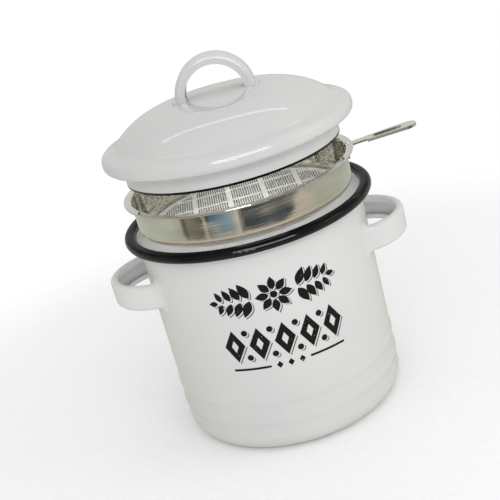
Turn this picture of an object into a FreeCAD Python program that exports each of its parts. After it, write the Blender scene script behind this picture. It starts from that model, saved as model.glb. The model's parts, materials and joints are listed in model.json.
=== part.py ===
import FreeCAD, Part
import math
import os
from FreeCAD import Vector

# Bacon grease container: an enamelled steel pot with two side handles, a stainless
# strainer with its own handle that hangs in the mouth, and a domed lid with a strap
# handle that sits in the strainer. Millimetres, +Z up, origin at the centre of the
# underside. At rest the strainer and the lid are lifted clear of the pot, one above
# the other, and both slide straight down on to their seats.

# Pot
pot_height = 109.7
pot_radius = 56.6
pot_sheet = 0.8
pot_corner = 9.0
base_ring_radius = 39.0
base_ring_rise = 0.7
base_ring_width = 7.0
rib_height = 0.6
rib_width = 6.4
rib_round = 5.0
rib_levels = (17.8, 28.6)

# Rolled rim of the pot
rim_width = 6.0
rim_height = 4.6
rim_round = 2.25
rim_inset = -0.1
flare_length = 3.6
flare_round = 3.0

# Side handles: a strap with both edges rolled in, bent round a vertical axis
side_handle_reach = 75.7
side_handle_radius = 25.8
side_handle_bottom = 76.6
side_handle_height = 13.0
side_handle_sheet = 1.0
side_handle_roll = 4.3
side_handle_roll_drop = 3.0
side_handle_round = 2.1

# Strainer
strainer_lift = 16.0
strainer_sheet = 0.5
strainer_depth = 18.2
strainer_corner = 5.0
strainer_draft = 0.25
strainer_ledge = 3.4
flange_seat_angle = 36.0
hem_radius = 0.5
wall_clearance = 0.95
seat_gap = 0.28
flange_round = 0.9

# Perforated disc in the strainer's floor
screen_sheet = 0.5
screen_clearance = 0.3
screen_margin = 2.2
block_pitch = 18.0
block_bar = 2.6
hole_pitch = 5.1
hole_radius = 1.2

# Strainer handle
grip_sheet = 0.8
grip_neck_width = 5.6
grip_root_width = 6.8
grip_end_width = 9.2
grip_reach = 89.0
grip_edge_depth = 1.4
grip_rise_angle = 5.2
grip_turn = -6.0
grip_tang_length = 6.2
grip_bend = 1.2
grip_root_gap = 2.0
grip_overlap = 2.5
slot_length = 14.5
slot_width = 4.8
slot_end_margin = 7.0
notch_clearance = 0.15

# Lid
lid_lift = 16.9
lid_sheet = 0.8
lid_bulge_radius = 61.6
lid_dome_height = 23.0
lid_bulge_top = 7.0
lid_bulge_bottom = 1.0
lid_valley_radius = 54.2
lid_valley_height = 9.6
lid_crown_radius = 42.5
lid_crown_drop = 3.0
lid_flat_radius = 14.0
lid_top_round = 200.0
lid_crown_round = 42.0
lid_valley_round = 4.4
lid_bulge_round = 3.6
lid_bulge_under_round = 2.6
lid_skirt_round = 1.0
lid_skirt_height = 8.4
lid_edge_height = 1.1
skirt_clearance = 0.3

# Lid handle: the same kind of channel, bent round a level axis
lid_handle_radius = 19.4
lid_handle_width = 12.0
lid_handle_sheet = 1.0
lid_handle_lip = 4.9
lid_handle_round = 2.6
lid_handle_turn = -5.0
lid_handle_axis_drop = 0.6
foot_length = 1.8
foot_sheet = 0.6
foot_inset = 1.0
foot_round = 1.2
foot_drop = 2.0

# Levels and radii that follow
pot_bore = pot_radius - pot_sheet
rim_inner_radius = pot_radius + rim_inset
rim_mid = pot_height - rim_height / 2
seat_angle = math.radians(flange_seat_angle)
seat_reach = rim_round + seat_gap + hem_radius
hem_centre_radius = rim_inner_radius + rim_round - seat_reach * math.sin(seat_angle)
hem_level = pot_height - rim_round + seat_reach * math.cos(seat_angle) + strainer_lift
flange_top = hem_level + strainer_sheet
strainer_radius = pot_bore - wall_clearance - grip_sheet
strainer_bore = strainer_radius - strainer_sheet
strainer_bottom = flange_top - strainer_depth
skirt_radius = strainer_bore - strainer_draft - skirt_clearance
shoulder = flange_top + seat_gap + lid_lift
dome_top = shoulder + lid_dome_height


# Drawing helpers
def unit(start, end):
    step = (end[0] - start[0], end[1] - start[1])
    length = math.hypot(*step)
    return step[0] / length, step[1] / length


def turn_between(before, after):
    cross = before[0] * after[1] - before[1] * after[0]
    dot = before[0] * after[0] + before[1] * after[1]
    return math.atan2(cross, dot)


def offset_corners(corners, distance):
    """Move an open path of (x, z, fillet) corners sideways, left when positive."""
    steps = [unit(a, b) for a, b in zip(corners, corners[1:])]
    moved = []
    for index, (x, z, fillet) in enumerate(corners):
        before = steps[max(index - 1, 0)]
        after = steps[min(index, len(steps) - 1)]
        turn = turn_between(before, after)
        along = unit((0, 0), (before[0] + after[0], before[1] + after[1]))
        shift = distance / math.cos(turn / 2)
        side = 1 if turn > 0 else -1
        new_fillet = max(fillet - side * distance, 0.0) if fillet else 0.0
        moved.append((x - along[1] * shift, z + along[0] * shift, new_fillet))
    return moved


def path_edges(corners):
    """Straight runs joined by tangent arcs, in the XZ plane."""
    edges = []
    last = Vector(corners[0][0], 0, corners[0][1])
    for index in range(1, len(corners) - 1):
        x, z, fillet = corners[index]
        corner = Vector(x, 0, z)
        before = unit(corners[index - 1], corners[index])
        after = unit(corners[index], corners[index + 1])
        turn = abs(turn_between(before, after))
        if fillet <= 0 or turn < 1e-4:
            edges.append(Part.makeLine(last, corner))
            last = corner
            continue
        reach = fillet * math.tan(turn / 2)
        start = corner - Vector(before[0], 0, before[1]) * reach
        end = corner + Vector(after[0], 0, after[1]) * reach
        inward = Vector(after[0] - before[0], 0, after[1] - before[1]).normalize()
        middle = corner + inward * (fillet / math.cos(turn / 2) - fillet)
        if (start - last).Length > 1e-4:
            edges.append(Part.makeLine(last, start))
        edges.append(Part.Arc(start, middle, end).toShape())
        last = end
    end = Vector(corners[-1][0], 0, corners[-1][1])
    edges.append(Part.makeLine(last, end))
    return edges


def sheet_face(corners, thickness):
    """The cross-section of bent sheet, in the XZ plane: the path and its offset."""
    other = offset_corners(corners, thickness)
    ends = []
    for index in (0, -1):
        a = Vector(corners[index][0], 0, corners[index][1])
        b = Vector(other[index][0], 0, other[index][1])
        ends.append(Part.makeLine(a, b))
    edges = path_edges(corners) + path_edges(other) + ends
    return Part.Face(Part.Wire(Part.__sortEdges__(edges)))


def spin(face, centre_x=0.0):
    return face.revolve(Vector(centre_x, 0, 0), Vector(0, 0, 1), 360)


def ring(inner, outer, bottom, height):
    outside = Part.makeCylinder(outer, height, Vector(0, 0, bottom))
    inside = Part.makeCylinder(inner, height, Vector(0, 0, bottom))
    return outside.cut(inside)


def slab(x_low, x_high, width, z_low, z_high):
    size = (x_high - x_low, width, z_high - z_low)
    return Part.makeBox(*size, Vector(x_low, -width / 2, z_low))


# Pot pieces
def pot_shell():
    corners = [
        (0, 0, 0),
        (base_ring_radius - base_ring_width / 2, 0, rib_round),
        (base_ring_radius, base_ring_rise, rib_round),
        (base_ring_radius + base_ring_width / 2, 0, rib_round),
        (pot_radius, 0, pot_corner),
    ]
    for level in rib_levels:
        corners += [
            (pot_radius, level - rib_width / 2, rib_round),
            (pot_radius + rib_height, level, rib_round),
            (pot_radius, level + rib_width / 2, rib_round),
        ]
    flare_top = rim_mid - flare_length / 2
    flared = rim_inner_radius + pot_sheet
    corners += [
        (pot_radius, flare_top - flare_length / 2, flare_round),
        (flared, flare_top, flare_round),
        (flared, rim_mid, 0),
    ]
    return spin(sheet_face(corners, pot_sheet))


def rim_bead():
    outer = rim_inner_radius + rim_width
    bottom = pot_height - rim_height
    corners = [
        (rim_inner_radius, rim_mid, 0),
        (rim_inner_radius, pot_height, rim_round),
        (outer, pot_height, rim_round),
        (outer, bottom, rim_round),
        (rim_inner_radius + rim_width / 2, bottom, 0),
    ]
    return spin(sheet_face(corners, -pot_sheet))


def side_handle(side):
    centre = side_handle_reach - side_handle_radius
    inner = side_handle_reach - side_handle_roll
    top = side_handle_bottom + side_handle_height
    corners = [
        (inner, side_handle_bottom + side_handle_roll_drop, 0),
        (inner, side_handle_bottom, side_handle_round),
        (side_handle_reach, side_handle_bottom, side_handle_round),
        (side_handle_reach, top, side_handle_round),
        (inner, top, side_handle_round),
        (inner, top - side_handle_roll_drop, 0),
    ]
    loop = spin(sheet_face(corners, side_handle_sheet), centre)
    pot_space = Part.makeCylinder(pot_radius, pot_height)
    handle = loop.cut(pot_space)
    outside = [piece for piece in handle.Solids if piece.CenterOfMass.x > pot_radius]
    handle = outside[0]
    if side < 0:
        handle = handle.mirror(Vector(0, 0, 0), Vector(1, 0, 0))
    return handle


# Strainer pieces
def strainer_bowl():
    under_flange = flange_top - strainer_sheet
    ledge_inner = strainer_radius - strainer_draft - strainer_corner - strainer_ledge
    corners = [
        (ledge_inner, strainer_bottom, 0),
        (strainer_radius - strainer_draft, strainer_bottom, strainer_corner),
        (strainer_radius, under_flange, flange_round),
        (hem_centre_radius, under_flange, 0),
    ]
    bowl = spin(sheet_face(corners, strainer_sheet))
    hem = Part.makeTorus(hem_centre_radius, hem_radius, Vector(0, 0, hem_level))
    bowl = bowl.fuse(hem).removeSplitter()
    notch_width = grip_neck_width + 2 * notch_clearance
    notch = slab(
        strainer_radius,
        pot_radius + rim_width,
        notch_width,
        hem_level - grip_tang_length,
        flange_top + hem_radius,
    )
    notch.rotate(Vector(0, 0, 0), Vector(0, 0, 1), grip_turn)
    return bowl.cut(notch)


def hole_centres(limit):
    """Square blocks of holes with plain bars between them."""
    per_side = int((block_pitch - block_bar) / hole_pitch)
    first = -(per_side - 1) * hole_pitch / 2
    blocks = int(limit / block_pitch) + 1
    centres = []
    for column in range(-blocks, blocks + 1):
        for row in range(-blocks, blocks + 1):
            for i in range(per_side):
                for j in range(per_side):
                    x = column * block_pitch + first + i * hole_pitch
                    y = row * block_pitch + first + j * hole_pitch
                    if math.hypot(x, y) < limit:
                        centres.append((x, y))
    return centres


def strainer_screen():
    radius = strainer_radius - strainer_draft - strainer_corner - screen_clearance
    level = strainer_bottom + strainer_sheet
    limit = radius - strainer_ledge - screen_margin
    outline = Part.Wire(Part.makeCircle(radius, Vector(0, 0, level)))
    holes = []
    for x, y in hole_centres(limit):
        holes.append(Part.Wire(Part.makeCircle(hole_radius, Vector(x, y, level))))
    face = Part.Face([outline] + [hole.reversed() for hole in holes])
    face.validate()
    return face.extrude(Vector(0, 0, screen_sheet))


def rounded_outline(x_start, x_end, start_width, end_width, level):
    """A tongue along +X, square at its root and round at its end."""
    half_start = start_width / 2
    half_end = end_width / 2
    centre_x = x_end - half_end
    a = Vector(x_start, -half_start, level)
    b = Vector(centre_x, -half_end, level)
    tip = Vector(x_end, 0, level)
    c = Vector(centre_x, half_end, level)
    d = Vector(x_start, half_start, level)
    edges = [
        Part.makeLine(a, b),
        Part.Arc(b, tip, c).toShape(),
        Part.makeLine(c, d),
        Part.makeLine(d, a),
    ]
    return Part.Face(Part.Wire(edges))


def slot_outline(x_start, x_end, width, level):
    half = width / 2
    left = x_start + half
    right = x_end - half
    edges = [
        Part.makeLine(Vector(left, -half, level), Vector(right, -half, level)),
        Part.Arc(
            Vector(right, -half, level), Vector(x_end, 0, level), Vector(right, half, level)
        ).toShape(),
        Part.makeLine(Vector(right, half, level), Vector(left, half, level)),
        Part.Arc(
            Vector(left, half, level), Vector(x_start, 0, level), Vector(left, -half, level)
        ).toShape(),
    ]
    return Part.Face(Part.Wire(edges))


def strainer_handle():
    """Strip: a tang on the wall, a neck in the flange's notch, then the dished blade."""
    rise = math.radians(grip_rise_angle)
    tang_foot = hem_level - grip_tang_length
    blade_start = rim_inner_radius + rim_width + grip_root_gap
    over_rim = pot_height + strainer_lift + seat_gap + grip_sheet
    crest_start = rim_inner_radius + rim_round
    blade_level = over_rim + (blade_start - crest_start) * math.tan(rise)
    tip_level = blade_level + grip_overlap * math.tan(rise)
    top_path = [
        (strainer_radius, tang_foot, 0),
        (strainer_radius, flange_top, grip_bend + grip_sheet),
        (hem_centre_radius - hem_radius, flange_top, grip_bend),
        (crest_start, over_rim, grip_bend),
        (blade_start + grip_overlap, tip_level, 0),
    ]
    strip = sheet_face(top_path, -grip_sheet)
    strip.translate(Vector(0, -grip_neck_width / 2, 0))
    strip = strip.extrude(Vector(0, grip_neck_width, 0))
    blade_face = rounded_outline(blade_start, grip_reach, grip_root_width, grip_end_width, 0)
    slot_end = grip_reach - slot_end_margin
    slot_start = slot_end - slot_length
    slot_face = slot_outline(slot_start, slot_end, slot_width, 0)
    down = Vector(0, 0, -grip_edge_depth)
    blade = blade_face.extrude(down)
    pocket_outline = rounded_outline(
        blade_start + grip_sheet,
        grip_reach - grip_sheet,
        grip_root_width - 2 * grip_sheet,
        grip_end_width - 2 * grip_sheet,
        -grip_sheet,
    )
    slot_rim = slot_outline(
        slot_start - grip_sheet, slot_end + grip_sheet, slot_width + 2 * grip_sheet, -grip_sheet
    )
    pocket = pocket_outline.cut(slot_rim).extrude(down)
    blade = blade.cut(pocket).cut(slot_face.extrude(down))
    blade.rotate(Vector(blade_start, 0, 0), Vector(0, 1, 0), -grip_rise_angle)
    blade.translate(Vector(0, 0, blade_level))
    handle = strip.fuse(blade).removeSplitter()
    handle.rotate(Vector(0, 0, 0), Vector(0, 0, 1), grip_turn)
    return handle


# Lid pieces
def lid_profile():
    return [
        (0, dome_top, 0),
        (lid_flat_radius, dome_top, lid_top_round),
        (lid_crown_radius, dome_top - lid_crown_drop, lid_crown_round),
        (lid_valley_radius, shoulder + lid_valley_height, lid_valley_round),
        (lid_bulge_radius, shoulder + lid_bulge_top, lid_bulge_round),
        (lid_bulge_radius, shoulder + lid_bulge_bottom, lid_bulge_under_round),
        (skirt_radius, shoulder, lid_skirt_round),
        (skirt_radius, shoulder - lid_skirt_height + lid_edge_height, 0),
    ]


def lid_shell():
    return spin(sheet_face(lid_profile(), -lid_sheet))


def lid_edge():
    inner = skirt_radius - lid_sheet
    return ring(inner, skirt_radius, shoulder - lid_skirt_height, lid_edge_height)


def lid_space():
    """Everything under the lid's outer skin, to end the handle's feet on the dome."""
    profile = lid_profile()
    bottom = profile[-1][1]
    edges = path_edges(profile)
    top = Vector(0, 0, profile[0][1])
    foot = Vector(0, 0, bottom)
    edges.append(Part.makeLine(Vector(profile[-1][0], 0, bottom), foot))
    edges.append(Part.makeLine(foot, top))
    return spin(Part.Face(Part.Wire(Part.__sortEdges__(edges))))


def lid_handle():
    axis_level = dome_top - lid_handle_axis_drop
    half = lid_handle_width / 2
    inner = lid_handle_radius - lid_handle_lip
    # The channel's section, drawn with its width along Z and then stood on its side
    corners = [
        (inner, -half, 0),
        (lid_handle_radius, -half, lid_handle_round),
        (lid_handle_radius, half, lid_handle_round),
        (inner, half, 0),
    ]
    section = sheet_face(corners, lid_handle_sheet)
    arch = section.revolve(Vector(0, 0, 0), Vector(0, 0, 1), 180)
    arch.rotate(Vector(0, 0, 0), Vector(1, 0, 0), 90)
    arch.translate(Vector(0, 0, axis_level))
    low = axis_level - foot_drop
    high = dome_top + foot_sheet
    pad_width = lid_handle_width - 2 * foot_inset
    for side in (-1, 1):
        near = side * inner
        far = side * (lid_handle_radius + foot_length)
        pad = slab(min(near, far), max(near, far), pad_width, low, high)
        pad = pad.makeFillet(foot_round, [edge for edge in pad.Edges if is_upright(edge)])
        arch = arch.fuse(pad)
    handle = arch.removeSplitter().cut(lid_space())
    handle.rotate(Vector(0, 0, 0), Vector(0, 0, 1), lid_handle_turn)
    return handle


def is_upright(edge):
    run = edge.Vertexes[0].Point - edge.Vertexes[-1].Point
    return abs(run.z) > 0 and math.hypot(run.x, run.y) < 1e-6


def write(name, shape):
    if not shape.isValid():
        print("not valid:", name)
    solids = shape.Solids
    box = shape.BoundBox
    print(
        f"{name}: solids {len(solids)} volume {shape.Volume:.1f} "
        f"x {box.XMin:.2f}..{box.XMax:.2f} y {box.YMin:.2f}..{box.YMax:.2f} "
        f"z {box.ZMin:.2f}..{box.ZMax:.2f}"
    )
    solids[0].exportStep(os.path.join("parts", name + ".step"))


os.makedirs("parts", exist_ok=True)
write("pot_shell", pot_shell())
write("rim_bead", rim_bead())
write("left_handle", side_handle(-1))
write("right_handle", side_handle(1))
write("strainer_bowl", strainer_bowl())
write("strainer_screen", strainer_screen())
write("strainer_handle", strainer_handle())
write("lid_shell", lid_shell())
write("lid_edge", lid_edge())
write("lid_handle", lid_handle())
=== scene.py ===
import json
import math

import bmesh
import bpy
from mathutils import Matrix, Vector

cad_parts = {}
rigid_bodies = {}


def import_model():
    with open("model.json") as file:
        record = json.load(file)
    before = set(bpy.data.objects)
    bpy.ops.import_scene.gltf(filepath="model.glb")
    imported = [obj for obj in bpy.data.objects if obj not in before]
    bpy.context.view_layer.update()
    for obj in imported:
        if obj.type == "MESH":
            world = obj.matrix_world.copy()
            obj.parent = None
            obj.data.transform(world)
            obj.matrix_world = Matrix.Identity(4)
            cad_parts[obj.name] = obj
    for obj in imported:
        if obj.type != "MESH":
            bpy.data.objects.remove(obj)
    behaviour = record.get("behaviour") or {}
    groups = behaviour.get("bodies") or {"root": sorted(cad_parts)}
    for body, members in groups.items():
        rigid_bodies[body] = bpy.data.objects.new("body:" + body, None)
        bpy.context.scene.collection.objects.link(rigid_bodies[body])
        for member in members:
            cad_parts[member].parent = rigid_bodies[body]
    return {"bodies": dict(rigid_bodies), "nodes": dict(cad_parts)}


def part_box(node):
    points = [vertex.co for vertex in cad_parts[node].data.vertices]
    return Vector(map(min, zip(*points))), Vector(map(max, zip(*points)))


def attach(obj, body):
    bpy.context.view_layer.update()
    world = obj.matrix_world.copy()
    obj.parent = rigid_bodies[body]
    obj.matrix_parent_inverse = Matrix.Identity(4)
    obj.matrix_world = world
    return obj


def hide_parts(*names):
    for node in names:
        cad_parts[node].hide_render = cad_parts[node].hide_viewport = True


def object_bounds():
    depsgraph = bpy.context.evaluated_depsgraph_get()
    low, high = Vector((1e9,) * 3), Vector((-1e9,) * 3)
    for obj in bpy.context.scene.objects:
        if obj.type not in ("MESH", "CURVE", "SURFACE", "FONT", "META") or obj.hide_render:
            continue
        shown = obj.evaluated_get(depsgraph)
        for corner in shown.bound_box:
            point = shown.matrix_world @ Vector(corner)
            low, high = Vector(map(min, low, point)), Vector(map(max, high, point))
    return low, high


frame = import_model()
cad_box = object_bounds()
nodes = frame["nodes"]
scene = bpy.context.scene

# Sizes are in metres and angles in degrees. The fillets and the print are in millimetres.
MM = 0.001

# Camera: it looks along +Y and down, and it leans so that the pot's top goes left
LENS_MM = 67.97
SENSOR_MM = 36.0
CAMERA_DISTANCE = 0.48433
CAMERA_ELEVATION = 20.42
CAMERA_ROLL = 15.2
CAMERA_SIDE = -0.00407
CAMERA_RAISE = 0.02314
CAMERA_AIM = 0.060
CAMERA_NEAR = 0.01

# Floor: a pale disc whose edge fades into the white behind it
FLOOR_RADIUS = 0.34
FLOOR_SOLID = 0.22
FLOOR_GAP = 0.0001
FLOOR_SIDES = 96
FLOOR_PATCHES = (0.93, 0.96)

# What the camera sees behind everything
BACKDROP = (1.0, 1.0, 1.0, 1.0)

# Light that reaches matt surfaces, from its dim side to its bright side
SOFT_LIGHT = ((0.0, 0.62), (0.5, 0.83), (1.0, 1.14))
SOFT_LIGHT_FROM = (0.42, -0.91, 0.0)

# What gloss mirrors. Places round about start at -X: front 0.25, right 0.5, back 0.75.
# Levels go from 0, straight down, over 0.5, the horizon, to 1, straight up.
# The sky's brightness, from the front to the back
SKY = ((0.0, 0.26), (0.42, 0.34), (0.60, 0.38), (1.0, 0.85))
# A low band of things in a room, by place, and how strongly it covers the sky, by level
LOW_BAND = (
    (0.00, (0.55, 0.58, 0.50)),
    (0.04, (0.50, 0.50, 0.42)),
    (0.055, (0.12, 0.11, 0.08)),
    (0.07, (0.25, 0.24, 0.19)),
    (0.11, (0.12, 0.11, 0.08)),
    (0.12, (0.50, 0.50, 0.42)),
    (0.13, (0.05, 0.06, 0.07)),
    (0.155, (0.13, 0.24, 0.33)),
    (0.20, (0.30, 0.40, 0.45)),
    (0.216, (0.70, 0.62, 0.54)),
    (0.227, (0.045, 0.06, 0.075)),
    (0.34, (0.075, 0.095, 0.11)),
    (0.36, (0.04, 0.05, 0.065)),
    (0.39, (0.06, 0.07, 0.08)),
    (0.405, (0.45, 0.47, 0.40)),
    (0.50, (0.50, 0.52, 0.45)),
    (0.85, (0.55, 0.58, 0.50)),
)
BAND_WEIGHT = ((0.46, 1.0), (0.52, 0.45), (0.66, 0.2), (0.80, 0.0))
# The band's borders sway by a noise, which also frays the table's edge
BAND_SWAY = 0.05
SWAY_SCALE = 5.0
SWAY_DETAIL = 4.0
SWAY_STRETCH = (1.0, 1.0, 9.0)
# Table top under the band: its colour, and the level of its far edge, by place
TABLE = (0.62, 0.57, 0.48, 1.0)
TABLE_EDGE = ((0.0, 0.3250), (0.05, 0.3263), (0.345, 0.3263), (0.405, 0.337), (0.50, 0.3250))
TABLE_RAGGED = 0.0028
TABLE_BLUR = 0.0012
# A bright window at the front with a dim bar across it, by place and by level
WINDOW_ACROSS = ((0.186, 0.0), (0.198, 1.0), (0.338, 1.0), (0.350, 0.0))
WINDOW_UP = (
    (0.575, 0.0),
    (0.585, 1.0),
    (0.665, 1.0),
    (0.675, 0.1),
    (0.700, 0.1),
    (0.710, 1.0),
    (0.800, 1.0),
    (0.815, 0.0),
)
WINDOW_GLOW = (9.0, 9.0, 9.0, 1.0)

# Lamps round about: name, azimuth (front 0, right 90), elevation, distance, size, glow,
# and whether gloss mirrors them. All aim at a point on the Z axis.
SOFTBOXES = (
    ("back_strip", 180, 64, 1.0, (1.05, 0.06), 2.8, True),
    ("front_box", 6, 33, 1.1, (1.0, 0.2), 4.0, False),
    ("right_box", 75, 25, 1.2, (0.5, 0.5), 1.0, True),
)
SOFTBOX_AIM = 0.1
# Lamps in the pot and under the lid: name, body, level, watts
INNER_GLOWS = (("pot_glow", "pot", 0.06, 0.055), ("lid_glow", "lid", 0.150, 0.055))
INNER_GLOW_RADIUS = 0.012
# Lamps in the side handles' gaps, and how far forward they stand, as a share of the way
# from the handle's middle to its front
GAP_LAMP = 0.008
GAP_GLOW = 1.4
GAP_SPREAD = 70
GAP_FORWARD = 0.45

# Soft patches go from the first to the second of a pair over this span of a noise
PATCH_SPAN = (0.3, 0.7)

# White enamel: the colours of its mottling, and its painted shade by height, as a share of the
# whole
ENAMEL_PATCHES = ((0.585, 0.588, 0.582), (0.625, 0.624, 0.612))
ENAMEL_PAINTED_SHADE = ((0.10, 0.97), (0.46, 1.05), (0.60, 1.05), (0.70, 0.94))

# Black enamel: its colours, and how strongly it mirrors, by how far a face looks up, turned
# down on top as painted shade
BLACK_PATCHES = ((0.003, 0.003, 0.0035), (0.008, 0.008, 0.008))
BLACK_PAINTED_DARK_TOP = ((0.46, 0.28), (0.72, 0.03))

# Print ink, with chips where a noise is strong
INK = ((0.66, (0.006, 0.006, 0.006)), (0.72, (0.42, 0.42, 0.41)))

# Steel: the colours of the spun bowl and the painted reflection and shade of its inner wall, of
# the screen and the painted shade of its holes
STEEL_PATCHES = ((0.62, 0.60, 0.54), (0.74, 0.72, 0.66))
INNER_PAINTED_REFLECTION = ((0.51, 0.50, 0.42), (0.63, 0.62, 0.53))
SCREEN_PATCHES = ((0.78, 0.78, 0.75), (0.88, 0.88, 0.85))
# The holes' walls are painted dark as shade
HOLE_PAINTED_SHADE = ((0.03, 0.03, 0.028), (0.06, 0.06, 0.055))
# Spun steel's dull patches are so many times as rough as its bright ones
STEEL_SPREAD = 1.8

# The bowl's inner wall: how far a face has to look inwards, how metallic it is, and its dents
INNER_FROM = 0.025
INNER_FULL = 0.045
INNER_METAL = 0.90
DENT_SCALE = 85.0
DENT_DETAIL = 1.5
DENT_STRETCH = (1.0, 1.0, 0.5)

# Fine screen in the strainer's floor: square cells, in blocks with plain bars between them,
# and a plain edge of some cells and a ring
CELL = 0.0012
CELL_RING = ((-1, -1), (0, -1), (1, -1), (1, 0), (1, 1), (0, 1), (-1, 1), (-1, 0))
CELL_WELD = CELL / 100
HOLE_RADIUS = 0.00048
BLOCK_CELLS = 15
BLOCK_BLANK = 2
PLAIN_CELLS = 2
RING_WIDTH = 0.0012
RING_STEPS = 120

# Enamel that fills the corner between a side handle and the pot, in millimetres: its radius,
# the length and depth of its run-out, and how deep it goes into the strap and the wall
FILLET = 3.2
FILLET_STEPS = 8
FILLET_RUN = 0.3
FILLET_SINK = 0.04
FILLET_CORE = 0.4
FILLET_ROOT = 0.15
# The strap's edges: the diameter of their roll, and how far in from the edge the skin starts
HANDLE_ROLL = 4.3
HANDLE_LIP = 3.0
ROLL_STEPS = 12

# Print, in millimetres: how far its middle is to the right and above the floor, how deep it
# lies in the wall, how far it stands out, and the strips that let it bend round the wall
PRINT_ALONG = 1.0
PRINT_MIDDLE = 69.0
PRINT_SINK = 0.05
PRINT_RAISE = 0.06
PRINT_STEP = 1.5
STEP_SNAP = 1e-5
# Rosette: its level over the print's middle, its heart's radius, how far out its petals
# start, and their length and width
ROSETTE_LEVEL = 13.4
ROSETTE_HEART = 1.7
ROSETTE_FOOT = 2.4
ROSETTE_PETALS = 8
PETAL_SIZE = (6.4, 3.7)
PETAL_SKEW = 0.85
# Sprays: where they start, and leaves in pairs that shrink outwards, with one at the tip
SPRAY_FROM = 11.4
SPRAY_PITCH = 4.3
SPRAY_PAIRS = 4
SPRAY_SHRINK = 0.12
LEAF_SIZE = (8.8, 4.3)
LEAF_ANGLE = 62
LEAF_LIFT = 0.7
TIP_FROM = 26.4
TIP_SIZE = (4.4, 2.6)
# Row of lozenges with holes, so many on each side of the middle one, and dots between them
LOZENGE_LEVEL = -9.2
LOZENGE_PITCH = 12.0
LOZENGE_SIZE = (10.0, 16.6)
LOZENGE_HOLE = (3.4, 6.4)
LOZENGES_ASIDE = 2
DOT_LIFT = 6.4
DOT_RADIUS = 1.5
# Rule under them, broken by three small lozenges
RULE_LEVEL = -21.6
RULE_FROM = 9.5
RULE_TO = 27.5
RULE_HEIGHT = 1.1
SMALL_PITCH = 5.4
SMALL_SIZE = (3.0, 3.6)
# Shade: thin lines beside the sides that face right and down
SHADE_GAP = 0.75
SHADE_WIDTH = 0.42
SHADE_FACING = 0.25
SHADE_WELD = 1e-4


# ---------------------------------------------------------------- nodes
def feed(tree, source, socket):
    """Give a socket another node's output, or a constant."""
    if isinstance(source, bpy.types.NodeSocket):
        tree.links.new(source, socket)
    else:
        socket.default_value = source


def add_axis(tree, kind, axis):
    """One coordinate of an object's or the world's place or direction."""
    place = tree.nodes.new("ShaderNodeTexCoord")
    parts = tree.nodes.new("ShaderNodeSeparateXYZ")
    tree.links.new(place.outputs[kind], parts.inputs["Vector"])
    return parts.outputs[axis]


def add_math(tree, operation, *terms):
    """Arithmetic on outputs and numbers."""
    node = tree.nodes.new("ShaderNodeMath")
    node.operation = operation
    for term, socket in zip(terms, node.inputs):
        feed(tree, term, socket)
    return node.outputs["Value"]


def add_vector_math(tree, operation, result, *terms):
    """Arithmetic on vectors. The result is the name of the output to use."""
    node = tree.nodes.new("ShaderNodeVectorMath")
    node.operation = operation
    for term, socket in zip(terms, node.inputs):
        feed(tree, term, socket)
    return node.outputs[result]


def add_noise(tree, scale, detail=2.0, stretch=(1, 1, 1), roughness=0.5, kind="Object"):
    place = tree.nodes.new("ShaderNodeTexCoord")
    stretched = tree.nodes.new("ShaderNodeMapping")
    stretched.inputs["Scale"].default_value = stretch
    noise = tree.nodes.new("ShaderNodeTexNoise")
    noise.inputs["Scale"].default_value = scale
    noise.inputs["Detail"].default_value = detail
    noise.inputs["Roughness"].default_value = roughness
    tree.links.new(place.outputs[kind], stretched.inputs["Vector"])
    tree.links.new(stretched.outputs["Vector"], noise.inputs["Vector"])
    return noise.outputs["Fac"]


def add_span(tree, value, low, high, smooth=False):
    """How far a value has come from low to high, from 0 to 1."""
    span = tree.nodes.new("ShaderNodeMapRange")
    span.interpolation_type = "SMOOTHSTEP" if smooth else "LINEAR"
    span.inputs["From Min"].default_value = low
    span.inputs["From Max"].default_value = high
    tree.links.new(value, span.inputs["Value"])
    return span.outputs["Result"]


def add_ramp(tree, factor, stops):
    """A brightness or a colour that goes evenly from stop to stop."""
    ramp = tree.nodes.new("ShaderNodeValToRGB")
    band = ramp.color_ramp
    while len(band.elements) < len(stops):
        band.elements.new(0.5)
    for element, (position, colour) in zip(band.elements, stops):
        element.position = position
        grey = isinstance(colour, float)
        element.color = (colour, colour, colour, 1) if grey else (*colour, 1)
    tree.links.new(factor, ramp.inputs["Fac"])
    return ramp.outputs["Color"]


def add_patches(tree, noise, pair):
    """Soft patches of two values or colours."""
    return add_ramp(tree, noise, tuple(zip(PATCH_SPAN, pair)))


def add_mix(tree, factor, first, second):
    """A colour between two. The node has sockets for each kind of value, so the colour
    ones go by number."""
    mix = tree.nodes.new("ShaderNodeMix")
    mix.data_type = "RGBA"
    for source, socket in ((factor, 0), (first, 6), (second, 7)):
        feed(tree, source, mix.inputs[socket])
    return mix.outputs[2]


def add_bump(tree, height, depth, strength=1.0, normal=None):
    bump = tree.nodes.new("ShaderNodeBump")
    bump.inputs["Distance"].default_value = depth
    feed(tree, strength, bump.inputs["Strength"])
    tree.links.new(height, bump.inputs["Height"])
    if normal is not None:
        tree.links.new(normal, bump.inputs["Normal"])
    return bump.outputs["Normal"]


# ---------------------------------------------------------------- materials
def new_material(name):
    material = bpy.data.materials.new(name)
    material.use_nodes = True
    tree = material.node_tree
    return material, tree, tree.nodes["Principled BSDF"]


def set_gloss(tree, shader, roughness, scale):
    """Soft patches of two roughnesses."""
    gloss = add_patches(tree, add_noise(tree, scale), roughness)
    tree.links.new(gloss, shader.inputs["Roughness"])


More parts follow.
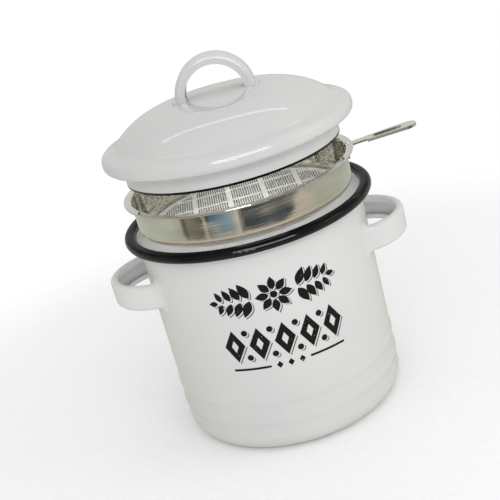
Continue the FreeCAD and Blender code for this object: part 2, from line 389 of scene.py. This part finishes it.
def white_enamel():
    """Pale enamel: faintly mottled, with the low waves and fine peel of a fired coat.
    Painted shade by height makes it palest near the pot's rim, a little darker at the foot, and
    darker still on the lid."""
    material, tree, shader = new_material("white_enamel")
    height = add_span(tree, add_axis(tree, "Object", "Z"), 0.0, cad_box[1].z)
    colours = []
    # Painted shade: the mottling's colours are made lighter or darker by height
    for patch in ENAMEL_PATCHES:
        stops = tuple((at, tuple(tone * part for part in patch)) for at, tone in ENAMEL_PAINTED_SHADE)
        colours.append(add_ramp(tree, height, stops))
    mottle = add_patches(tree, add_noise(tree, scale=16.0, detail=3.0), (0.0, 1.0))
    tree.links.new(add_mix(tree, mottle, *colours), shader.inputs["Base Color"])
    set_gloss(tree, shader, roughness=(0.03, 0.07), scale=45.0)
    waves = add_noise(tree, scale=34.0, detail=1.0)
    peel = add_noise(tree, scale=420.0, detail=1.0)
    wavy = add_bump(tree, waves, depth=0.00035, strength=0.6)
    peeled = add_bump(tree, peel, depth=0.00003, strength=0.5, normal=wavy)
    tree.links.new(peeled, shader.inputs["Normal"])
    shader.inputs["Specular IOR Level"].default_value = 0.36
    return material


def black_enamel():
    """Black enamel of the rim and the lid's edge, glossy, with its mirroring turned down on
    faces that look up: painted shade on the top.
    """
    material, tree, shader = new_material("black_enamel")
    colour = add_patches(tree, add_noise(tree, scale=60.0, detail=3.0), BLACK_PATCHES)
    tree.links.new(colour, shader.inputs["Base Color"])
    set_gloss(tree, shader, roughness=(0.015, 0.04), scale=90.0)
    waves = add_bump(tree, add_noise(tree, scale=110.0), depth=0.0003, strength=0.6)
    tree.links.new(waves, shader.inputs["Normal"])
    # Painted shade: less mirroring on faces that look up, so the top looks darker
    dimmed_top = add_ramp(tree, add_axis(tree, "Normal", "Z"), BLACK_PAINTED_DARK_TOP)
    tree.links.new(dimmed_top, shader.inputs["Specular IOR Level"])
    return material


def print_ink():
    """Black transfer print with small chips worn out of it."""
    material, tree, shader = new_material("print_ink")
    chips = add_noise(tree, scale=900.0, detail=3.0, roughness=0.7)
    tree.links.new(add_ramp(tree, chips, INK), shader.inputs["Base Color"])
    set_gloss(tree, shader, roughness=(0.25, 0.4), scale=200.0)
    shader.inputs["Specular IOR Level"].default_value = 0.2
    return material


def add_inner_mask(tree):
    """1 on faces that look towards the Z axis, and 0 on those that look outwards."""
    place = tree.nodes.new("ShaderNodeTexCoord")
    flat = add_vector_math(tree, "MULTIPLY", "Vector", place.outputs["Object"], (1, 1, 0))
    outward = add_vector_math(tree, "DOT_PRODUCT", "Value", flat, place.outputs["Normal"])
    return add_span(tree, outward, -INNER_FROM, -INNER_FULL)


def stainless(name, wave_depth, roughness, inner_dents=None):
    """Bright spun steel: fine rings from the lathe over slow waves. Its inside may be dented,
    and is then a little duller, with a darker olive colour painted on as reflection and shade."""
    material, tree, shader = new_material(name)
    tone = add_noise(tree, scale=30.0, detail=3.0, stretch=(1, 1, 6))
    colour = add_patches(tree, tone, STEEL_PATCHES)
    set_gloss(tree, shader, (roughness, roughness * STEEL_SPREAD), scale=50.0)
    waves = add_bump(tree, add_noise(tree, scale=40.0, detail=1.0), wave_depth)
    rings = add_noise(tree, scale=60.0, stretch=(1, 1, 20))
    relief = add_bump(tree, rings, depth=0.00001, strength=0.3, normal=waves)
    shader.inputs["Metallic"].default_value = 1.0
    if inner_dents is not None:
        inner = add_inner_mask(tree)
        dents = add_noise(tree, DENT_SCALE, DENT_DETAIL, DENT_STRETCH)
        relief = add_bump(tree, dents, inner_dents, strength=inner, normal=relief)
        metal = add_ramp(tree, inner, ((0.0, 1.0), (1.0, INNER_METAL)))
        tree.links.new(metal, shader.inputs["Metallic"])
        # Painted reflection and shade: the inner wall's darker olive colour
        colour = add_mix(tree, inner, colour, add_patches(tree, tone, INNER_PAINTED_REFLECTION))
    tree.links.new(colour, shader.inputs["Base Color"])
    tree.links.new(relief, shader.inputs["Normal"])
    return material


def screen_steel():
    """Etched screen: satin steel, paler than the spun bowl."""
    material, tree, shader = new_material("stainless_screen")
    shader.inputs["Metallic"].default_value = 0.35
    colour = add_patches(tree, add_noise(tree, scale=60.0, detail=3.0), SCREEN_PATCHES)
    tree.links.new(colour, shader.inputs["Base Color"])
    set_gloss(tree, shader, roughness=(0.22, 0.34), scale=90.0)
    return material


def painted_hole_shade():
    """The walls of the screen's fine holes, painted dark as the shade in them."""
    material, tree, shader = new_material("stainless_painted_hole_shade")
    shader.inputs["Metallic"].default_value = 0.6
    colour = add_patches(tree, add_noise(tree, scale=200.0), HOLE_PAINTED_SHADE)
    tree.links.new(colour, shader.inputs["Base Color"])
    shader.inputs["Roughness"].default_value = 0.6
    return material


def floor_paper():
    """Pale matt paper that fades out towards the floor's edge."""
    material, tree, shader = new_material("floor")
    place = tree.nodes.new("ShaderNodeTexCoord")
    reach = add_vector_math(tree, "LENGTH", "Value", place.outputs["Object"])
    fade = add_span(tree, reach, FLOOR_RADIUS, FLOOR_SOLID, smooth=True)
    tree.links.new(fade, shader.inputs["Alpha"])
    grain = add_patches(tree, add_noise(tree, scale=300.0), FLOOR_PATCHES)
    tree.links.new(grain, shader.inputs["Base Color"])
    shader.inputs["Roughness"].default_value = 1.0
    shader.inputs["Specular IOR Level"].default_value = 0.0
    return material


# ---------------------------------------------------------------- meshes
def around(loop):
    """Each item of a closed loop with the one after it."""
    return zip(loop, loop[1:] + loop[:1])


def mesh_from(shape, name):
    mesh = bpy.data.meshes.new(name)
    shape.to_mesh(mesh)
    shape.free()
    return mesh


def add_piece(name, shape, material, body):
    piece = bpy.data.objects.new(name, mesh_from(shape, name))
    scene.collection.objects.link(piece)
    piece.data.materials.append(material)
    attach(piece, body)
    return piece


def thicken(piece, thickness, offset):
    solid = piece.modifiers.new("thickness", "SOLIDIFY")
    solid.thickness = thickness
    solid.offset = offset
    return solid


def wall_radius(level):
    """The pot wall's radius at one level, from its front."""
    start, inward = Vector((0, -1, level)), Vector((0, 1, 0))
    _, place, _, _ = nodes["pot_shell"].ray_cast(start, inward)
    return -place.y


# ---------------------------------------------------------------- camera and world
def make_camera():
    elevation = math.radians(CAMERA_ELEVATION)
    roll = math.radians(CAMERA_ROLL)
    forward = Vector((0, math.cos(elevation), -math.sin(elevation)))
    right = Vector((1, 0, 0))
    up = Vector((0, math.sin(elevation), math.cos(elevation)))
    place = Vector((0, 0, CAMERA_AIM)) - forward * CAMERA_DISTANCE
    place += right * CAMERA_SIDE + up * CAMERA_RAISE
    across = right * math.cos(roll) - up * math.sin(roll)
    above = right * math.sin(roll) + up * math.cos(roll)
    data = bpy.data.cameras.new("camera")
    data.lens = LENS_MM
    data.sensor_width = SENSOR_MM
    data.clip_start = CAMERA_NEAR
    camera = bpy.data.objects.new("camera", data)
    scene.collection.objects.link(camera)
    turned = Matrix((across, above, -forward)).transposed().to_4x4()
    camera.matrix_world = Matrix.Translation(place) @ turned
    scene.camera = camera


def add_round_about(tree):
    """The place round about of a world direction, from 0 to 1."""
    place = tree.nodes.new("ShaderNodeTexCoord")
    gradient = tree.nodes.new("ShaderNodeTexGradient")
    gradient.gradient_type = "RADIAL"
    tree.links.new(place.outputs["Generated"], gradient.inputs["Vector"])
    return gradient.outputs["Fac"]


def add_room(tree, level, round_about):
    """A dim sky over a coloured low band, and a table top under both."""
    sway = add_noise(tree, SWAY_SCALE, SWAY_DETAIL, SWAY_STRETCH, kind="Generated")
    swayed = add_math(tree, "MULTIPLY_ADD", sway, BAND_SWAY, round_about)
    swayed = add_math(tree, "SUBTRACT", swayed, BAND_SWAY / 2)
    backward = add_span(tree, add_axis(tree, "Generated", "Y"), -1.0, 1.0)
    sky = add_ramp(tree, backward, SKY)
    band = add_ramp(tree, swayed, LOW_BAND)
    behind = add_mix(tree, add_ramp(tree, level, BAND_WEIGHT), sky, band)
    frayed = add_math(tree, "MULTIPLY_ADD", sway, TABLE_RAGGED, level)
    over = add_math(tree, "SUBTRACT", frayed, add_ramp(tree, swayed, TABLE_EDGE))
    middle = TABLE_RAGGED / 2
    clear = add_span(tree, over, middle - TABLE_BLUR, middle + TABLE_BLUR)
    return add_mix(tree, clear, TABLE, behind)


def add_window(tree, level, round_about, room):
    """The bright window, in front of the room."""
    across = add_ramp(tree, round_about, WINDOW_ACROSS)
    upward = add_ramp(tree, level, WINDOW_UP)
    return add_mix(tree, add_math(tree, "MULTIPLY", across, upward), room, WINDOW_GLOW)


def add_soft_light(tree):
    """Light from all sides, a little stronger from one."""
    place = tree.nodes.new("ShaderNodeTexCoord").outputs["Generated"]
    toward = add_vector_math(tree, "DOT_PRODUCT", "Value", place, SOFT_LIGHT_FROM)
    return add_ramp(tree, add_span(tree, toward, -1.0, 1.0), SOFT_LIGHT)


def make_world():
    """White to the camera, soft light to matt surfaces, and a room with a window to gloss."""
    world = bpy.data.worlds.new("studio")
    scene.world = world
    world.use_nodes = True
    tree = world.node_tree
    level = add_span(tree, add_axis(tree, "Generated", "Z"), -1.0, 1.0)
    round_about = add_round_about(tree)
    room = add_room(tree, level, round_about)
    mirrored = add_window(tree, level, round_about, room)
    path = tree.nodes.new("ShaderNodeLightPath")
    lit = add_mix(tree, path.outputs["Is Glossy Ray"], add_soft_light(tree), mirrored)
    shown = add_mix(tree, path.outputs["Is Camera Ray"], lit, BACKDROP)
    tree.links.new(shown, tree.nodes["Background"].inputs["Color"])


# ---------------------------------------------------------------- floor and lamps
def make_floor():
    outline = bmesh.new()
    bmesh.ops.create_circle(outline, cap_ends=True, segments=FLOOR_SIDES, radius=FLOOR_RADIUS)
    floor = bpy.data.objects.new("floor", mesh_from(outline, "floor"))
    scene.collection.objects.link(floor)
    floor.data.materials.append(floor_paper())
    floor.visible_glossy = False
    floor.location.z = -FLOOR_GAP


def add_lamp(name, kind):
    """A lamp of Blender's kind AREA or POINT, to be set up and placed by the caller."""
    lamp = bpy.data.objects.new(name, bpy.data.lights.new(name, kind))
    scene.collection.objects.link(lamp)
    return lamp


def hide_lamp(lamp):
    """Keep a lamp itself out of the picture and out of mirror images, but not its light."""
    lamp.visible_camera = False
    lamp.visible_glossy = False


def add_softbox(name, azimuth, elevation, distance, size, glow, mirrored):
    side, lift = math.radians(azimuth), math.radians(elevation)
    flat = math.cos(lift)
    outward = Vector((math.sin(side) * flat, -math.cos(side) * flat, math.sin(lift)))
    lamp = add_lamp(name, "AREA")
    lamp.data.shape = "RECTANGLE"
    lamp.data.size, lamp.data.size_y = size
    lamp.data.energy = glow * math.pi * size[0] * size[1]
    lamp.location = Vector((0, 0, SOFTBOX_AIM)) + outward * distance
    lamp.rotation_euler = (-outward).to_track_quat("-Z", "Y").to_euler()
    lamp.visible_glossy = mirrored


def add_inner_glow(name, body, level, power):
    """A hidden lamp in a hollow, for the light that a bright room throws into it."""
    lamp = add_lamp(name, "POINT")
    lamp.data.energy = power
    lamp.data.shadow_soft_size = INNER_GLOW_RADIUS
    lamp.location = (0, 0, level)
    lamp.parent = frame["bodies"][body]
    hide_lamp(lamp)


def add_gap_glow(side):
    """A hidden lamp behind a side handle's front, for the light that comes through its gap."""
    low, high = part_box(f"{side}_handle")
    outer = low.x if side == "left" else high.x
    wall = math.copysign(wall_radius(low.z), outer)
    lamp = add_lamp(f"{side}_gap_glow", "AREA")
    lamp.data.shape = "SQUARE"
    lamp.data.size = GAP_LAMP
    lamp.data.spread = math.radians(GAP_SPREAD)
    lamp.data.energy = GAP_GLOW * math.pi * GAP_LAMP ** 2
    lamp.location = ((outer + wall) / 2, low.y * GAP_FORWARD, (low.z + high.z) / 2)
    lamp.rotation_euler = Vector((0, 1, 0)).to_track_quat("-Z", "Z").to_euler()
    hide_lamp(lamp)


def make_studio():
    make_world()
    make_floor()
    for softbox in SOFTBOXES:
        add_softbox(*softbox)
    for glow in INNER_GLOWS:
        add_inner_glow(*glow)
    for side in ("left", "right"):
        add_gap_glow(side)
    scene.view_settings.view_transform = "Standard"


# ---------------------------------------------------------------- strainer screen
def add_cell(shape, x, y, open_cell):
    """A square cell with corners and side middles. An open one is a ring round its hole."""
    half = CELL / 2
    outer = [shape.verts.new((x + a * half, y + b * half, 0)) for a, b in CELL_RING]
    if not open_cell:
        shape.faces.new(outer)
        return
    inner = []
    for corner in outer:
        out = Vector((corner.co.x - x, corner.co.y - y, 0)).normalized() * HOLE_RADIUS
        inner.append(shape.verts.new((x + out.x, y + out.y, 0)))
    for (a, b), (c, d) in zip(around(outer), around(inner)):
        shape.faces.new((a, b, d, c))


def add_outer_ring(shape, radius):
    """Plain metal between the stepped edge of the cells and the round edge."""
    steps = [
        edge for edge in shape.edges
        if len(edge.link_faces) == 1 and len(edge.link_faces[0].verts) == len(CELL_RING)
    ]
    circle = []
    for i in range(RING_STEPS):
        angle = math.tau * i / RING_STEPS
        circle.append(shape.verts.new((radius * math.cos(angle), radius * math.sin(angle), 0)))
    rim = [shape.edges.new(pair) for pair in around(circle)]
    bmesh.ops.triangle_fill(shape, use_beauty=True, edges=steps + rim)


def make_screen(material, hole_shade_material):
    """The fine screen, which takes the place of the solid one and its coarse holes."""
    low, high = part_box("strainer_screen")
    radius = (high.x - low.x) / 2
    cell_reach = radius - RING_WIDTH
    count = int(cell_reach / CELL) + 1
    shape = bmesh.new()
    for column in range(-count, count):
        for row in range(-count, count):
            x, y = (column + 0.5) * CELL, (row + 0.5) * CELL
            if math.hypot(abs(x) + CELL / 2, abs(y) + CELL / 2) > cell_reach:
                continue
            across = (column + BLOCK_CELLS // 2) % BLOCK_CELLS
            along = (row + BLOCK_CELLS // 2) % BLOCK_CELLS
            near_edge = math.hypot(x, y) > cell_reach - PLAIN_CELLS * CELL
            solid = across < BLOCK_BLANK or along < BLOCK_BLANK or near_edge
            add_cell(shape, x, y, open_cell=not solid)
    bmesh.ops.remove_doubles(shape, verts=shape.verts, dist=CELL_WELD)
    add_outer_ring(shape, radius)
    bmesh.ops.recalc_face_normals(shape, faces=shape.faces)
    bmesh.ops.translate(shape, verts=shape.verts, vec=(0, 0, high.z))
    piece = add_piece("screen_mesh", shape, material, "strainer")
    piece.data.materials.append(hole_shade_material)
    # The holes' walls take the second material, which is painted shade
    thicken(piece, high.z - low.z, offset=-1).material_offset_rim = 1
    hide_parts("strainer_screen")


# ---------------------------------------------------------------- side handles' fillets
def strap_skin(radius, bottom, top):
    """The outer skin of a strap with rolled edges: (radius, level, outward normal)."""
    roll = HANDLE_ROLL / 2
    skin = [(radius - HANDLE_ROLL, bottom + HANDLE_LIP, (-1, 0))]
    for level, start in ((bottom + roll, math.pi), (top - roll, 0.0)):
        for i in range(ROLL_STEPS + 1):
            angle = start + math.pi * i / ROLL_STEPS
            out = (math.cos(angle), math.sin(angle))
            skin.append((radius - roll + roll * out[0], level + roll * out[1], out))
    skin.append((radius - HANDLE_ROLL, top - HANDLE_LIP, (-1, 0)))
    return skin


def fillet_section():
    """(distance from the wall, height over the strap), round a closed loop."""
    section = [(-FILLET_ROOT, FILLET)]
    for i in range(FILLET_STEPS + 1):
        angle = math.pi / 2 * i / FILLET_STEPS
        section.append((FILLET - FILLET * math.cos(angle), FILLET - FILLET * math.sin(angle)))
    section.append((FILLET + FILLET_RUN, -FILLET_SINK))
    section.append((FILLET + FILLET_RUN, -FILLET_CORE))
    section.append((-FILLET_ROOT, -FILLET_CORE))
    return section


def add_fillet(shape, skin, centre, wall, side, end):
    """One closed fillet round a strap's end, where its arc about "centre" meets the wall."""
    section = fillet_section()
    # The section's own corners, where the shading breaks
    corners = (1, len(section) - 3, len(section) - 2, len(section) - 1)
    loops = []
    for radius, level, out in skin:
        loop = []
        for along, lift in section:
            reach = radius + out[0] * lift
            meet = (centre ** 2 + wall ** 2 - reach ** 2) / (2 * centre)
            angle = math.acos((meet - centre) / reach) - along / reach
            x = side * (centre + reach * math.cos(angle))
            y = end * reach * math.sin(angle)
            loop.append(shape.verts.new((x * MM, y * MM, (level + out[1] * lift) * MM)))
        loops.append(loop)
    for first, second in zip(loops, loops[1:]):
        for (a, b), (c, d) in zip(around(first), around(second)):
            shape.faces.new((a, b, d, c)).smooth = True
        for i in corners:
            shape.edges.get((first[i], second[i])).smooth = False
    shape.faces.new(loops[0])
    shape.faces.new(loops[-1])


def make_fillets(material):
    for name, side in (("left_handle", -1), ("right_handle", 1)):
        low, high = (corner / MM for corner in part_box(name))
        radius = high.y
        centre = max(-low.x, high.x) - radius
        wall = wall_radius(low.z * MM) / MM
        skin = strap_skin(radius, low.z, high.z)
        shape = bmesh.new()
        for end in (-1, 1):
            add_fillet(shape, skin, centre, wall, side, end)
        bmesh.ops.recalc_face_normals(shape, faces=shape.faces)
        add_piece(f"{name}_fillets", shape, material, "pot")


# ---------------------------------------------------------------- print: outlines
def petal(foot, heading, length, width, points=9):
    """A pointed oval from its foot outwards, as a closed outline."""
    turn = math.radians(heading)
    along = (math.cos(turn), math.sin(turn))
    aside = (-along[1], along[0])
    outline = []
    for side, steps in ((1, range(points)), (-1, range(points - 2, 0, -1))):
        for i in steps:
            t = i / (points - 1)
            bulge = side * width / 2 * math.sin(math.pi * t ** PETAL_SKEW)
            outline.append((
                foot[0] + along[0] * length * t + aside[0] * bulge,
                foot[1] + along[1] * length * t + aside[1] * bulge,
            ))
    return outline[::-1]


def lozenge(centre, width, height):
    x, y = centre
    return [(x - width / 2, y), (x, y - height / 2), (x + width / 2, y), (x, y + height / 2)]


def dot(centre, radius, points=16):
    turns = [math.tau * i / points for i in range(points)]
    return [(centre[0] + radius * math.cos(t), centre[1] + radius * math.sin(t)) for t in turns]


def bar(left, right, level, height):
    low, high = level - height / 2, level + height / 2
    return [(left, low), (right, low), (right, high), (left, high)]


def shade(outline):
    """Thin strips beside the sides of an outline that face right and down."""
    area = sum(a[0] * b[1] - b[0] * a[1] for a, b in around(outline))
    sign = 1 if area > 0 else -1
    near, far = SHADE_GAP / math.sqrt(2), (SHADE_GAP + SHADE_WIDTH) / math.sqrt(2)
    strips = []
    for (x0, y0), (x1, y1) in around(outline):
        length = math.hypot(x1 - x0, y1 - y0)
        outward = (sign * (y1 - y0) / length, -sign * (x1 - x0) / length)
        if (outward[0] - outward[1]) / math.sqrt(2) > SHADE_FACING:
            strips.append([
                (x0 + near, y0 - near), (x1 + near, y1 - near),
                (x1 + far, y1 - far), (x0 + far, y0 - far),
            ])
    return strips


# ---------------------------------------------------------------- print: motifs
# Each motif is a list of outlines: its own, and its hole's if it has one
def rosette():
    motifs = [[dot((0.0, ROSETTE_LEVEL), ROSETTE_HEART)]]
    for i in range(ROSETTE_PETALS):
        heading = 360 * i / ROSETTE_PETALS
        turn = math.radians(heading)
        foot = (ROSETTE_FOOT * math.cos(turn), ROSETTE_LEVEL + ROSETTE_FOOT * math.sin(turn))
        motifs.append([petal(foot, heading, *PETAL_SIZE)])
    return motifs


def spray(side):
    """Leaves to one side of the rosette: side is 1 for right and -1 for left."""
    outward = 0 if side > 0 else 180
    motifs = []
    for i in range(SPRAY_PAIRS):
        length, width = (size * (1 - SPRAY_SHRINK * i) for size in LEAF_SIZE)
        for lean in (-1, 1):
            foot = (side * (SPRAY_FROM + SPRAY_PITCH * i), ROSETTE_LEVEL + lean * LEAF_LIFT)
            motifs.append([petal(foot, outward + side * lean * LEAF_ANGLE, length, width)])
    motifs.append([petal((side * TIP_FROM, ROSETTE_LEVEL), outward, *TIP_SIZE)])
    return motifs


def lozenge_row():
    motifs = []
    for i in range(-LOZENGES_ASIDE, LOZENGES_ASIDE + 1):
        centre = (i * LOZENGE_PITCH, LOZENGE_LEVEL)
        motifs.append([lozenge(centre, *LOZENGE_SIZE), lozenge(centre, *LOZENGE_HOLE)])
    for i in range(-LOZENGES_ASIDE, LOZENGES_ASIDE):
        for lift in (-DOT_LIFT, DOT_LIFT):
            centre = ((i + 0.5) * LOZENGE_PITCH, LOZENGE_LEVEL + lift)
            motifs.append([dot(centre, DOT_RADIUS)])
    return motifs


def rule():
    motifs = []
    for left, right in ((-RULE_TO, -RULE_FROM), (RULE_FROM, RULE_TO)):
        motifs.append([bar(left, right, RULE_LEVEL, RULE_HEIGHT)])
    for i in (-1, 0, 1):
        motifs.append([lozenge((i * SMALL_PITCH, RULE_LEVEL), *SMALL_SIZE)])
    return motifs


# ---------------------------------------------------------------- print: pieces
def fill_motifs(motifs):
    """One flat mesh of motifs, cut into narrow upright strips."""
    shape = bmesh.new()
    for motif in motifs:
        edges = []
        for outline in motif:
            corners = [shape.verts.new((x, y, 0)) for x, y in outline]
            edges += [shape.edges.new(pair) for pair in around(corners)]
        bmesh.ops.triangle_fill(shape, use_beauty=True, edges=edges)
    low = min(v.co.x for v in shape.verts)
    high = max(v.co.x for v in shape.verts)
    for i in range(1, int((high - low) / PRINT_STEP) + 1):
        geometry = shape.verts[:] + shape.edges[:] + shape.faces[:]
        cut = (low + i * PRINT_STEP, 0, 0)
        bmesh.ops.bisect_plane(
            shape, geom=geometry, plane_co=cut, plane_no=(1, 0, 0), dist=STEP_SNAP
        )
    return shape


def wrap_on_pot(shape, radius):
    """Lay a flat mesh, in millimetres, on the pot's wall."""
    for vertex in shape.verts:
        angle = (vertex.co.x + PRINT_ALONG) * MM / radius
        height = (vertex.co.y + PRINT_MIDDLE) * MM
        reach = radius - PRINT_SINK * MM
        vertex.co = (reach * math.sin(angle), -reach * math.cos(angle), height)
    middle = Vector((0, 0, PRINT_MIDDLE * MM))
    for face in shape.faces:
        face.normal_update()
        if face.normal.dot(face.calc_center_median() - middle) < 0:
            face.normal_flip()


def add_print(name, shape, radius, material):
    wrap_on_pot(shape, radius)
    piece = add_piece(name, shape, material, "pot")
    thicken(piece, (PRINT_SINK + PRINT_RAISE) * MM, offset=1)


def make_print(material):
    """A rosette between two sprays, over a row of lozenges and a rule. All but the rule
    have a thin shade."""
    radius = wall_radius(PRINT_MIDDLE * MM)
    bold = rosette() + spray(-1) + spray(1) + lozenge_row()
    add_print("print_motifs", fill_motifs(bold + rule()), radius, material)
    lines = fill_motifs([[strip] for motif in bold for strip in shade(motif[0])])
    bmesh.ops.remove_doubles(lines, verts=lines.verts, dist=SHADE_WELD)
    add_print("print_shade", lines, radius, material)


# ---------------------------------------------------------------- the scene
def dress(names, material):
    for name in names:
        nodes[name].material_slots[0].material = material


make_camera()
make_studio()
white = white_enamel()
black = black_enamel()
bowl_steel = stainless("stainless", wave_depth=0.0002, roughness=0.035, inner_dents=0.0036)
handle_steel = stainless("stainless_grip", wave_depth=0.0004, roughness=0.16)
dress(["pot_shell", "left_handle", "right_handle", "lid_shell", "lid_handle"], white)
dress(["rim_bead", "lid_edge"], black)
dress(["strainer_bowl"], bowl_steel)
dress(["strainer_handle"], handle_steel)
# The bead's mirror image would darken the strainer's wall
nodes["rim_bead"].visible_glossy = False
make_screen(screen_steel(), painted_hole_shade())
make_fillets(white)
make_print(print_ink())
